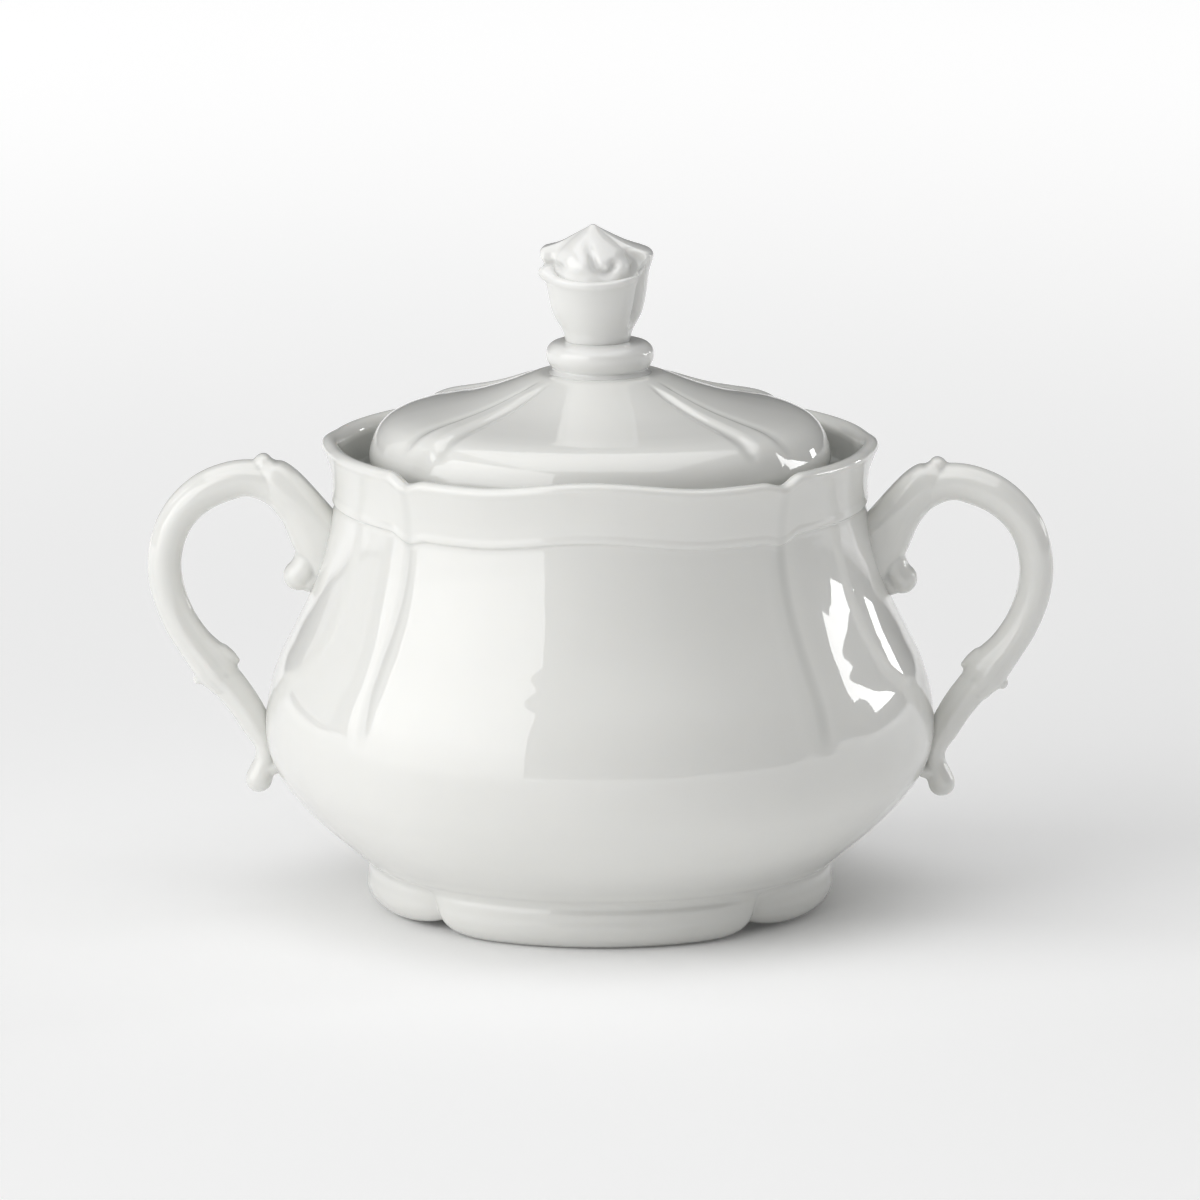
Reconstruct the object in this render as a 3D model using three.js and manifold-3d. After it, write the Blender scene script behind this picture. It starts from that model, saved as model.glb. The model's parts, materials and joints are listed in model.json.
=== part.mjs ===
// A porcelain sugar bowl with two scroll handles and an inset lid with a rosebud knob.
// Millimetres, +Z up. The origin is at the middle of the foot's resting face.
// The handles lie along X, and the front is towards -Y.

import * as THREE from 'three';
import { mergeVertices } from 'three/addons/utils/BufferGeometryUtils.js';
import Module from 'manifold-3d';

const wasm = await Module();
wasm.setup();

// ---------------------------------------------------------------- driving dimensions

const JOINT_GAP = 0.3; // slip joint between two clay pieces
const WALL = 3.3; // thickness of the body's wall

const FOOT_TOP = 7.2; // height at which the body starts
const BELLY_RADIUS = 55.3;
const BELLY_HEIGHT = 28;
const NECK_RADIUS = 43.8;
const BAND_HEIGHT = 67.3; // lower edge of the plain band under the rim
const BAND_STEP = 0.45; // how far the band stands proud of the body
const RIM_RADIUS = 45.2;
const RIM_HEIGHT = 77.2;
const RIM_THICKNESS = 3.2;
const LEDGE_HEIGHT = 70.2; // where the lid rests
const LEDGE_RADIUS = 36.2; // inner radius of the ledge
const FLOOR_HEIGHT = 11;

const FOOT_CONTACT_RADIUS = 34.4;
const FOOT_RADIUS = 38.6;
const FOOT_INNER_RADIUS = 31.2;
const FOOT_NOTCH = 2.2; // how far the foot's arches rise at the diagonals
const FOOT_PINCH = 1.2; // how far the foot draws in there

const LID_RADIUS = 38.1;
const LID_SHOULDER = 81.3;
const LID_TOP = 89;
const LID_WALL = 3;
const FLANGE_RADIUS = 35.4;
const FLANGE_THICKNESS = 3.2;
const FLANGE_BOTTOM = 65.6;

const COLLAR_RADIUS = 9.3;
const COLLAR_TUBE = 2.3;
const BUD_RADIUS = 9.2;
const BUD_WAIST = 6.1;
const KNOB_TOP = 113.6;

// Strips of relief beside each diagonal: degrees from the handles' plane, half width, height.
const BODY_STRIPS = [
  { at: 40.5, halfWidth: 4.4, height: 0.55 }, // broad bead on the handle's side
  { at: 45, halfWidth: 3, height: -0.4 }, // groove
  { at: 49.5, halfWidth: 3.4, height: 0.3 }, // fine bead
];
const LID_STRIPS = [
  { at: 33.8, halfWidth: 3, height: -0.3 },
  { at: 39.4, halfWidth: 6, height: 0.7 },
  { at: 45, halfWidth: 3, height: -0.3 },
];

// The rim and the band's edge share one wave: level over each handle, a cusp down at each rib,
// and a rise to a soft peak at the front and back.
const WAVE_SIDE = 0.4;
const WAVE_FRONT = -0.35;
const WAVE_PEAK = 1.65;
const WAVE_PEAK_HALF_WIDTH = 27;
const WAVE_CUSP = 1.05;
const WAVE_CUSP_HALF_WIDTH = 6;

const BODY_SEGMENTS = 80;
const FOOT_SEGMENTS = 64;
const LID_SEGMENTS = 64;
const KNOB_SEGMENTS = 32;

// ---------------------------------------------------------------- materials

const BOWL_WHITE = 0xf1f1ec;
const KNOB_WHITE = 0xf4f4f0;
const glaze = (color) => new THREE.MeshStandardMaterial({ color, roughness: 0.12, metalness: 0 });

// ---------------------------------------------------------------- helpers

const point = (r, z) => new THREE.Vector2(r, z);

// Degrees from the plane of the handles: 0 at a handle, 90 at the front and back.
const fromHandles = (theta) =>
  THREE.MathUtils.radToDeg(Math.atan2(Math.abs(Math.sin(theta)), Math.abs(Math.cos(theta))));

// 1 at distance 0, falling smoothly to 0 at the given half width.
function bump(distance, halfWidth) {
  const t = Math.min(Math.abs(distance) / halfWidth, 1);
  return 0.5 + 0.5 * Math.cos(Math.PI * t);
}

function rimWave(theta) {
  const angle = fromHandles(theta);
  const front = WAVE_FRONT + WAVE_PEAK * bump(90 - angle, WAVE_PEAK_HALF_WIDTH);
  const level = angle < 45 ? WAVE_SIDE : front;
  return level - WAVE_CUSP * bump(angle - 45, WAVE_CUSP_HALF_WIDTH);
}

// Height of the relief at an angle round the axis.
const stripRelief = (strips, theta) =>
  strips.reduce(
    (sum, strip) => sum + strip.height * bump(fromHandles(theta) - strip.at, strip.halfWidth),
    0,
  );

// Turns a profile of (radius, height) points round Z, then lets relief move each point.
function revolve(profile, segments, relief = (p) => p) {
  const lathe = new THREE.LatheGeometry(profile, segments);
  lathe.deleteAttribute('normal');
  lathe.deleteAttribute('uv');
  lathe.rotateX(Math.PI / 2);
  const geometry = mergeVertices(lathe, 1e-3);
  const position = geometry.getAttribute('position');
  for (let i = 0; i < position.count; i += 1) {
    const theta = Math.atan2(position.getY(i), position.getX(i));
    const start = { r: Math.hypot(position.getX(i), position.getY(i)), z: position.getZ(i) };
    const moved = relief({ ...start, theta });
    position.setXYZ(i, moved.r * Math.cos(theta), moved.r * Math.sin(theta), moved.z);
  }
  return geometry;
}

// Points along a smooth curve through a few (radius, height) points.
const smooth = (points, steps) =>
  new THREE.SplineCurve(points.map(([r, z]) => point(r, z))).getPoints(steps);

// A round stretch of profile about a centre, from one angle to another, in degrees.
function arc(r, z, radius, from, to, steps) {
  return Array.from({ length: steps + 1 }, (_, i) => {
    const a = THREE.MathUtils.degToRad(from + ((to - from) * i) / steps);
    return point(r + radius * Math.cos(a), z + radius * Math.sin(a));
  });
}

function solidOf(geometry) {
  const bare = geometry.clone();
  bare.deleteAttribute('normal');
  bare.deleteAttribute('uv');
  const merged = mergeVertices(bare, 1e-3);
  const mesh = new wasm.Mesh({
    numProp: 3,
    vertProperties: new Float32Array(merged.getAttribute('position').array),
    triVerts: new Uint32Array(merged.index.array),
  });
  return new wasm.Manifold(mesh);
}

function geometryOf(solid) {
  const mesh = solid.getMesh();
  const geometry = new THREE.BufferGeometry();
  geometry.setAttribute('position', new THREE.BufferAttribute(mesh.vertProperties, 3));
  geometry.setIndex(new THREE.BufferAttribute(mesh.triVerts, 1));
  return geometry;
}

function named(name, geometry, color) {
  geometry.computeVertexNormals();
  const mesh = new THREE.Mesh(geometry, glaze(color));
  mesh.name = name;
  return mesh;
}

// ---------------------------------------------------------------- body

// Outer wall from the foot up to the band, swollen by an allowance.
const bellyProfile = (allowance = 0) =>
  smooth(
    [
      [37.4, FOOT_TOP],
      [44.6, 13.1],
      [50.8, 19.4],
      [BELLY_RADIUS, BELLY_HEIGHT],
      [54.2, 38],
      [50.6, 46.2],
      [47, 54],
      [44.7, 60.5],
      [NECK_RADIUS, BAND_HEIGHT - 1],
    ].map(([r, z]) => [r + allowance, z]),
    14,
  );

// The band, its step and the lip, in the same order.
const rimProfile = (allowance = 0) => [
  point(NECK_RADIUS + BAND_STEP + allowance, BAND_HEIGHT),
  point(NECK_RADIUS + BAND_STEP + 0.2 + allowance, RIM_HEIGHT - 5.2),
  point(RIM_RADIUS - 0.2 + allowance, RIM_HEIGHT - 2.6),
  ...arc(RIM_RADIUS - RIM_THICKNESS / 2, RIM_HEIGHT - 1.2, RIM_THICKNESS / 2 + allowance, 0, 180, 4),
];

// Inside, from the lip down to the middle of the floor.
const innerProfile = () => [
  point(RIM_RADIUS - RIM_THICKNESS - 0.2, LEDGE_HEIGHT),
  point(LEDGE_RADIUS, LEDGE_HEIGHT),
  point(LEDGE_RADIUS, LEDGE_HEIGHT - 3),
  point(NECK_RADIUS - WALL - 0.2, BAND_HEIGHT - 6),
  ...smooth(
    [
      [47.3 - WALL, 53],
      [BELLY_RADIUS - WALL - 1.6, 38],
      [BELLY_RADIUS - WALL, BELLY_HEIGHT + 1],
      [46.4, 19],
      [36, FLOOR_HEIGHT + 1.6],
      [0, FLOOR_HEIGHT],
    ],
    9,
  ),
];

// The ribs start above the belly and are fainter over the band, and the wave fades in to the rim.
function bodyRelief({ r, z, theta }) {
  const start = THREE.MathUtils.smoothstep(z, BELLY_HEIGHT + 5, BELLY_HEIGHT + 12);
  const overBand = THREE.MathUtils.smoothstep(z, BAND_HEIGHT - 1, BAND_HEIGHT + 2);
  const waveFade = THREE.MathUtils.smoothstep(z, LEDGE_HEIGHT - 14, BAND_HEIGHT - 1);
  return {
    r: r + start * (1 - overBand / 2) * stripRelief(BODY_STRIPS, theta),
    z: z + waveFade * rimWave(theta),
  };
}

// Relief for the whole body: the inside keeps its plain round shape below the lip.
function shellRelief(at) {
  const outside = at.r > outerRadiusAt(at.z) - WALL / 2;
  const lip = at.z > LEDGE_HEIGHT + 1;
  if (outside) return bodyRelief(at);
  return lip ? { r: at.r, z: at.z + rimWave(at.theta) } : at;
}

const outerWall = [...bellyProfile(), ...rimProfile()];

// Outer radius of the plain profile at a height.
function outerRadiusAt(z) {
  const above = outerWall.findIndex((p) => p.y >= z);
  if (above <= 0) return outerWall[above === 0 ? 0 : outerWall.length - 1].x;
  const [low, high] = [outerWall[above - 1], outerWall[above]];
  return THREE.MathUtils.mapLinear(z, low.y, high.y, low.x, high.x);
}

const bodyShell = revolve([point(0, FOOT_TOP), ...outerWall, ...innerProfile()], BODY_SEGMENTS, shellRelief);

// The body's outer form as one solid, grown by the joint gap, to fit other pieces to it.
const bodyEnvelope = solidOf(
  revolve(
    [
      point(0, FOOT_TOP - JOINT_GAP),
      point(37.4 + JOINT_GAP, FOOT_TOP - JOINT_GAP),
      ...bellyProfile(JOINT_GAP),
      ...rimProfile(JOINT_GAP),
      point(0, RIM_HEIGHT),
    ],
    BODY_SEGMENTS,
    (at) => (at.r > 1 ? bodyRelief(at) : at),
  ),
);

// ---------------------------------------------------------------- foot

const footProfile = [
  point(FOOT_INNER_RADIUS, FOOT_TOP - JOINT_GAP),
  point(FOOT_INNER_RADIUS + 1.2, 2.2),
  point(FOOT_CONTACT_RADIUS - 1.3, 0),
  point(FOOT_CONTACT_RADIUS + 1.3, 0),
  ...arc(FOOT_RADIUS - 2.9, 3.5, 2.9, -45, 55, 4),
  point(37, FOOT_TOP - JOINT_GAP),
  point(FOOT_INNER_RADIUS, FOOT_TOP - JOINT_GAP),
];

const NOTCH_SLOPE_HANDLE = 9; // degrees over which a notch falls off towards a handle
const NOTCH_SLOPE_FRONT = 5; // and towards the front or back

// Four lobes: at each diagonal the foot draws in, and its underside rises to a pointed arch.
function footRelief({ r, z, theta }) {
  const away = fromHandles(theta) - 45;
  const notch = Math.exp(away < 0 ? away / NOTCH_SLOPE_HANDLE : -away / NOTCH_SLOPE_FRONT);
  const low = 1 - THREE.MathUtils.smoothstep(z, 0, FOOT_TOP - JOINT_GAP);
  const outside = THREE.MathUtils.smoothstep(r, FOOT_CONTACT_RADIUS - 1.4, FOOT_RADIUS - 1.6);
  return { r: r - FOOT_PINCH * notch * low * outside, z: z + FOOT_NOTCH * notch * low };
}

const footRing = revolve(footProfile, FOOT_SEGMENTS, footRelief);

// ---------------------------------------------------------------- handles

// Stations along a handle's middle line: distance from the axis, height, then thickness across
// the curve and breadth along Y. The thick station near the lower end is a leaf that sheathes it.
const HANDLE_STATIONS = [
  [42.5, 57.5, 9, 9.6],
  [48, 65.3, 8.4, 8.6],
  [54.2, 70.5, 7.4, 7.6],
  [60.5, 71.2, 6.8, 7],
  [66.8, 68.2, 6.2, 6.6],
  [71.2, 62.3, 5.8, 6.4],
  [72.3, 55.8, 5.6, 6.4],
  [70.9, 49.6, 5.8, 6.4],
  [67.2, 43.8, 7, 6.8],
  [63.9, 39.2, 10, 7.4],
  [60.9, 34.8, 5.6, 6],
  [57.4, 27.6, 4.6, 5.6],
  [56.6, 21.6, 3.8, 4.8],
];
const HANDLE_STEPS = 36;
const HANDLE_SIDES = 10;

// The curl under the handle's upper root.
const CURL_STATIONS = [
  [45.6, 66, 4.4, 6.4],
  [48.2, 60.6, 4.4, 6],
  [50.3, 56.2, 4.4, 5.6],
  [49.2, 52.8, 3, 4.6],
];
const CURL_STEPS = 8;

// The ball that ends the lower tail, and the point of the leaf over the upper root.
const TAIL_BALL = { x: 56.7, z: 20.9, radius: 2.2 };
const LEAF_POINT = { base: [57, 71.4], tip: [55.4, 75.6], baseRadius: 3.2, tipRadius: 0.7 };

// A rod with oval sections, bent along a curve through its stations.
function bentRod(stations, steps, sides) {
  const column = (i) => stations.map((s) => s[i]);
  const middle = new THREE.CatmullRomCurve3(
    stations.map(([x, z]) => new THREE.Vector3(x, 0, z)),
    false,
    'centripetal',
  );
  const sized = (values, t) => {
    const at = t * (values.length - 1);
    const low = Math.min(Math.floor(at), values.length - 2);
    return THREE.MathUtils.lerp(values[low], values[low + 1], at - low);
  };
  const rod = new THREE.CylinderGeometry(1, 1, 1, sides, steps);
  const position = rod.getAttribute('position');
  for (let i = 0; i < position.count; i += 1) {
    const t = 0.5 - position.getY(i);
    const centre = middle.getPoint(t);
    const along = middle.getTangent(t);
    const across = (position.getX(i) * sized(column(2), t)) / 2;
    const breadth = (-position.getZ(i) * sized(column(3), t)) / 2;
    position.setXYZ(i, centre.x - across * along.z, breadth, centre.z + across * along.x);
  }
  return solidOf(rod);
}

function ball({ x, z, radius }) {
  return solidOf(new THREE.SphereGeometry(radius, 12, 8).rotateX(Math.PI / 2).translate(x, 0, z));
}

// A blunt cone from a base to a tip, both in the plane of the handle.
function leafPoint({ base, tip, baseRadius, tipRadius }) {
  const from = new THREE.Vector3(base[0], 0, base[1]);
  const along = new THREE.Vector3(tip[0], 0, tip[1]).sub(from);
  const cone = new THREE.CylinderGeometry(tipRadius, baseRadius, along.length(), 8);
  const turn = new THREE.Quaternion().setFromUnitVectors(
    new THREE.Vector3(0, 1, 0),
    along.clone().normalize(),
  );
  cone.applyQuaternion(turn);
  cone.translate(from.x + along.x / 2, 0, from.z + along.z / 2);
  return solidOf(cone);
}

function handleGeometry() {
  const whole = bentRod(HANDLE_STATIONS, HANDLE_STEPS, HANDLE_SIDES)
    .add(bentRod(CURL_STATIONS, CURL_STEPS, HANDLE_SIDES))
    .add(ball(TAIL_BALL))
    .add(leafPoint(LEAF_POINT));
  return geometryOf(whole.subtract(bodyEnvelope));
}

// ---------------------------------------------------------------- lid

const lidTop = smooth(
  [
    [36.9, 79.5],
    [34, LID_SHOULDER],
    [27.6, 83.3],
    [18, 86],
    [12.4, 88],
    [10, LID_TOP],
  ],
  8,
);
const lidUnderside = smooth(
  [
    [0, LID_TOP - LID_WALL],
    [12, 84.9],
    [20, 82.4],
    [29.5, 79.5],
    [FLANGE_RADIUS - FLANGE_THICKNESS, 77.6],
  ],
  5,
);

const LID_EDGE_BOTTOM = LEDGE_HEIGHT + JOINT_GAP;
const FLANGE_TOP = 75.4;

const lidProfile = [
  ...lidUnderside,
  point(FLANGE_RADIUS - FLANGE_THICKNESS, FLANGE_TOP),
  point(FLANGE_RADIUS + JOINT_GAP, FLANGE_TOP),
  point(FLANGE_RADIUS + JOINT_GAP, LID_EDGE_BOTTOM),
  ...arc(LID_RADIUS - 2.6, 76.3, 2.6, -55, 25, 4),
  ...lidTop,
  point(0, LID_TOP),
];

// A height halfway through the lid's wall, to tell its top from its underside.
const lidMiddleHeight = (r) => THREE.MathUtils.mapLinear(r, 10, 37, 87, 78);

// Four raised ribs with a groove on each side, that widen from the collar to the edge.
function lidRelief({ r, z, theta }) {
  if (z < lidMiddleHeight(r)) return { r, z };
  const fade = THREE.MathUtils.smoothstep(r, 11, 20) * (1 - THREE.MathUtils.smoothstep(r, 36, 38));
  return { r, z: z + fade * stripRelief(LID_STRIPS, theta) };
}

const lidDome = revolve(lidProfile, LID_SEGMENTS, lidRelief);

const lidFlange = revolve(
  [
    point(FLANGE_RADIUS - FLANGE_THICKNESS, FLANGE_TOP - JOINT_GAP),
    point(FLANGE_RADIUS - FLANGE_THICKNESS, FLANGE_BOTTOM + 0.9),
    point(FLANGE_RADIUS - FLANGE_THICKNESS + 0.9, FLANGE_BOTTOM),
    point(FLANGE_RADIUS - 0.9, FLANGE_BOTTOM),
    point(FLANGE_RADIUS, FLANGE_BOTTOM + 0.9),
    point(FLANGE_RADIUS, FLANGE_TOP - JOINT_GAP),
    point(FLANGE_RADIUS - FLANGE_THICKNESS, FLANGE_TOP - JOINT_GAP),
  ],
  LID_SEGMENTS,
);

// ---------------------------------------------------------------- knob

const COLLAR_BOTTOM = LID_TOP + JOINT_GAP;
const COLLAR_TOP = COLLAR_BOTTOM + 2 * COLLAR_TUBE;

const collar = revolve(
  [
    point(0, COLLAR_BOTTOM),
    ...arc(COLLAR_RADIUS - COLLAR_TUBE, COLLAR_BOTTOM + COLLAR_TUBE, COLLAR_TUBE, -90, 90, 7),
    point(0, COLLAR_TOP),
  ],
  KNOB_SEGMENTS,
);

const BUD_LIP = 107.2; // height of the outer petals' rolled lips
const PETALS = 4;

const budProfile = [
  point(0, COLLAR_TOP + JOINT_GAP),
  ...smooth(
    [
      [BUD_WAIST, COLLAR_TOP + JOINT_GAP],
      [BUD_WAIST + 0.3, 97],
      [BUD_WAIST + 1.6, 101.5],
      [BUD_RADIUS - 0.7, 105],
      [BUD_RADIUS, BUD_LIP - 0.4],
    ],
    8,
  ),
  point(BUD_RADIUS - 0.7, BUD_LIP + 0.6),
  point(BUD_RADIUS - 2, BUD_LIP),
  point(BUD_RADIUS - 3, BUD_LIP + 1.6),
  point(BUD_RADIUS - 5, BUD_LIP + 4.6),
  point(BUD_RADIUS - 7.4, KNOB_TOP - 0.6),
  point(0, KNOB_TOP),
];

// Petals swell the bud between the seams where they overlap, and their tips stand higher.
function budRelief({ r, z, theta }) {
  const open = THREE.MathUtils.smoothstep(z, 97, BUD_LIP);
  const swell = Math.abs(Math.cos((PETALS / 2) * (theta + 0.35)));
  const onLip = bump(z - BUD_LIP, 3) * THREE.MathUtils.smoothstep(r, 5, 8);
  return { r: r * (1 - 0.09 * open * (1 - swell)), z: z + onLip * (1.2 * swell - 0.8) };
}

const rosebud = revolve(budProfile, KNOB_SEGMENTS, budRelief);

// ---------------------------------------------------------------- assembly

const handleRight = named('handle_right', handleGeometry(), BOWL_WHITE);
const handleLeft = named('handle_left', handleRight.geometry.clone(), BOWL_WHITE);
handleLeft.rotation.z = Math.PI;

const bowl = new THREE.Group();
bowl.add(
  named('bowl_body', bodyShell, BOWL_WHITE),
  named('foot_ring', footRing, BOWL_WHITE),
  handleRight,
  handleLeft,
);

const lid = new THREE.Group();
lid.add(
  named('lid_dome', lidDome, BOWL_WHITE),
  named('lid_flange', lidFlange, BOWL_WHITE),
  named('knob_collar', collar, KNOB_WHITE),
  named('knob_rosebud', rosebud, KNOB_WHITE),
);

const sugarBowl = new THREE.Group();
sugarBowl.add(bowl, lid);

export default sugarBowl;
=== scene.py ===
"""A white porcelain sugar bowl with a lift-off lid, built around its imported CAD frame.

Shapes are worked out in millimetres and turned into metres when a mesh is made.
"""

import json
import math

import bpy
import numpy as np
from mathutils import Matrix, Vector


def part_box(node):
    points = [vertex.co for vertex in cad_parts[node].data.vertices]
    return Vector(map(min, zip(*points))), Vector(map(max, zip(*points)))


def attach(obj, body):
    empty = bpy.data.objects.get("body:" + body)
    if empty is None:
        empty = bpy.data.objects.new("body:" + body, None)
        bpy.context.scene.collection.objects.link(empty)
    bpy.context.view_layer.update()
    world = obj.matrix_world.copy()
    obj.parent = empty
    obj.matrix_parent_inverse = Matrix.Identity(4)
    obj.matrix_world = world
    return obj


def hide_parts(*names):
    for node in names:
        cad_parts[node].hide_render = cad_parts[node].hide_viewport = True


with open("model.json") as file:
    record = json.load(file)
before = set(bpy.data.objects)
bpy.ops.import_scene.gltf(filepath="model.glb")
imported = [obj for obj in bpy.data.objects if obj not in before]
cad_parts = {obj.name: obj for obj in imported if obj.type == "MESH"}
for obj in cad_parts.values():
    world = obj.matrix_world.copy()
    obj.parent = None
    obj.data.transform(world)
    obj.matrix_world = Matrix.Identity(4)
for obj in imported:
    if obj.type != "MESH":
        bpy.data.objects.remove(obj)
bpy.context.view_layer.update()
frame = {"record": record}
MM = 0.001


def box_mm(node):
    """Lowest and highest corner of a CAD node, in millimetres."""
    low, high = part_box(node)
    return np.array(low) / MM, np.array(high) / MM


# ---------------------------------------------------------------- sizes, from the frame

BODY_LOW, BODY_HIGH = box_mm("bowl_body")
FOOT_HIGH = box_mm("foot_ring")[1]
LID_LOW, LID_HIGH = box_mm("lid_dome")
FLANGE_LOW, FLANGE_HIGH = box_mm("lid_flange")
COLLAR_LOW, COLLAR_HIGH = box_mm("knob_collar")
BUD_LOW, BUD_HIGH = box_mm("knob_rosebud")

BELLY = BODY_HIGH[1] - 0.05
BELLY_HEIGHT = 28.0
JUNCTION = BODY_LOW[2]
NECK = BELLY - 11.5
RIM = BELLY - 10.0
RIM_TOP = BODY_HIGH[2] - 1.6
BAND = RIM_TOP - 9.9
LEDGE = LID_LOW[2] - 0.3
LID_SEAT = LID_LOW[2]
LEDGE_RADIUS = LID_HIGH[1] - 1.9
FLOOR = JUNCTION + 3.8
WALL = 3.3
FOOT = FOOT_HIGH[1] - 0.05
FOOT_INNER = FOOT - 7.4

LID = LID_HIGH[1] - 0.05
LID_TOP = LID_HIGH[2]
FLANGE = FLANGE_HIGH[1] - 0.02
FLANGE_WALL = 3.2
COLLAR = COLLAR_HIGH[1] - 0.35
BUD_BASE = BUD_LOW[2]
KNOB_TOP = BUD_HIGH[2] - 0.05

# ---------------------------------------------------------------- small maths


def smoothstep(x, low, high):
    """0 below low, 1 above high, and a smooth rise between them."""
    t = np.clip((x - low) / (high - low), 0, 1)
    return t * t * (3 - 2 * t)


def bump(distance, half_width):
    """1 at distance 0, falling smoothly to 0 at half_width."""
    t = np.clip(np.abs(distance) / half_width, 0, 1)
    return 0.5 + 0.5 * np.cos(math.pi * t)


def folded(theta):
    """Degrees from the plane of the handles: 0 at a handle, 90 at the front and back."""
    return np.degrees(np.arctan2(np.abs(np.sin(theta)), np.abs(np.cos(theta))))


def curve(points, steps=12):
    """A centripetal Catmull-Rom curve through points, with that many steps in each span.

    Only the first two columns set the spacing, and any other columns are carried along it.
    """
    p = np.array(points, float)
    p = np.vstack([2 * p[0] - p[1], p, 2 * p[-1] - p[-2]])
    out = []
    for i in range(1, len(p) - 2):
        p0, p1, p2, p3 = p[i - 1 : i + 3]
        k = [0.0]
        for a, b in ((p0, p1), (p1, p2), (p2, p3)):
            k.append(k[-1] + max(np.linalg.norm(b[:2] - a[:2]), 1e-6) ** 0.5)
        last = i == len(p) - 3
        for t in np.linspace(k[1], k[2], steps + 1)[: None if last else -1]:
            a1 = p0 * (k[1] - t) / (k[1] - k[0]) + p1 * (t - k[0]) / (k[1] - k[0])
            a2 = p1 * (k[2] - t) / (k[2] - k[1]) + p2 * (t - k[1]) / (k[2] - k[1])
            a3 = p2 * (k[3] - t) / (k[3] - k[2]) + p3 * (t - k[2]) / (k[3] - k[2])
            b1 = a1 * (k[2] - t) / (k[2] - k[0]) + a2 * (t - k[0]) / (k[2] - k[0])
            b2 = a2 * (k[3] - t) / (k[3] - k[1]) + a3 * (t - k[1]) / (k[3] - k[1])
            out.append(b1 * (k[2] - t) / (k[2] - k[1]) + b2 * (t - k[1]) / (k[2] - k[1]))
    return np.array(out)


# ---------------------------------------------------------------- meshes


def make_mesh(name, verts_mm, faces, painted_shade=None):
    """A smooth-shaded mesh, with a painted shade value at each point, 0 to 1."""
    mesh = bpy.data.meshes.new(name)
    mesh.from_pydata((np.asarray(verts_mm) * MM).tolist(), [], faces)
    mesh.polygons.foreach_set("use_smooth", [True] * len(mesh.polygons))
    layer = mesh.attributes.new("painted_shade", "FLOAT", "POINT")
    if painted_shade is not None:
        layer.data.foreach_set("value", np.asarray(painted_shade, float).ravel())
    mesh.update()
    return mesh


def add_object(name, mesh):
    obj = bpy.data.objects.new(name, mesh)
    bpy.context.scene.collection.objects.link(obj)
    return obj


def make_object(name, verts_mm, faces, painted_shade=None):
    return add_object(name, make_mesh(name, verts_mm, faces, painted_shade))


def grid_faces(rows, columns, close_rows=False):
    """Quads between rings of points, row by row. close_rows joins the last ring to the first."""
    faces = []
    for i in range(rows if close_rows else rows - 1):
        a, b = i * columns, ((i + 1) % rows) * columns
        for j in range(columns):
            k = (j + 1) % columns
            faces.append((a + j, a + k, b + k, b + j))
    return faces


def ring_angles():
    """Angles round the axis, close together at the diagonals where the ribs are."""
    quarter = np.concatenate([np.arange(0, 30, 2.0), np.arange(30, 56, 0.5), np.arange(56, 90, 2.0)])
    whole = np.concatenate([quarter, 180 - quarter, 180 + quarter, 360 - quarter])
    return np.radians(np.unique(np.round(whole % 360, 4)))


ANGLES = ring_angles()


def revolved(name, profile, relief=None, weights=None, angles=ANGLES):
    """A profile of (r, z) turned round Z. A first or last point on the axis becomes a pole.

    relief(r, z, theta, weight) gives the new r and z, and the painted shade, at every point.
    """
    profile = np.asarray(profile, float)
    weights = np.ones(len(profile)) if weights is None else np.asarray(weights, float)
    poles = [profile[0, 0] < 1e-6, profile[-1, 0] < 1e-6]
    rings = slice(int(poles[0]), len(profile) - int(poles[1]))
    count = len(profile[rings])
    segments = len(angles)
    r = np.repeat(profile[rings, :1], segments, axis=1)
    z = np.repeat(profile[rings, 1:2], segments, axis=1)
    t = np.repeat(angles[None, :], count, axis=0)
    painted_shade = np.zeros_like(r)
    if relief:
        r, z, painted_shade = relief(r, z, t, weights[rings, None])
    verts = np.stack([r * np.cos(t), r * np.sin(t), z], axis=-1).reshape(-1, 3)
    painted_shades = painted_shade.ravel()
    faces = grid_faces(count, segments, close_rows=not any(poles))
    for end, pole in enumerate(poles):
        if not pole:
            continue
        tip = len(verts)
        verts = np.vstack([verts, [0, 0, profile[-1 if end else 0, 1]]])
        painted_shades = np.append(painted_shades, 0)
        ring = (count - 1) * segments if end else 0
        for j in range(segments):
            pair = (ring + j, ring + (j + 1) % segments)
            faces.append((*pair, tip) if end else (*pair[::-1], tip))
    return make_object(name, verts, faces, painted_shades)


def remeshed(name, parts, voxel_mm, smooth_steps):
    """Joins closed meshes into one skin, with soft glazed creases where they meet."""
    verts, faces = [], []
    for part_verts, part_faces in parts:
        offset = sum(len(v) for v in verts)
        verts.append(part_verts)
        faces += [tuple(i + offset for i in f) for f in part_faces]
    obj = make_object(name, np.vstack(verts), faces)
    remesh = obj.modifiers.new("skin", "REMESH")
    remesh.mode = "VOXEL"
    remesh.voxel_size = voxel_mm * MM
    remesh.use_smooth_shade = True
    soften = obj.modifiers.new("soften", "SMOOTH")
    soften.factor = 0.5
    soften.iterations = smooth_steps
    graph = bpy.context.evaluated_depsgraph_get()
    mesh = bpy.data.meshes.new_from_object(obj.evaluated_get(graph))
    mesh.name = name
    bpy.data.objects.remove(obj)
    mesh.polygons.foreach_set("use_smooth", [True] * len(mesh.polygons))
    return mesh


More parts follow.
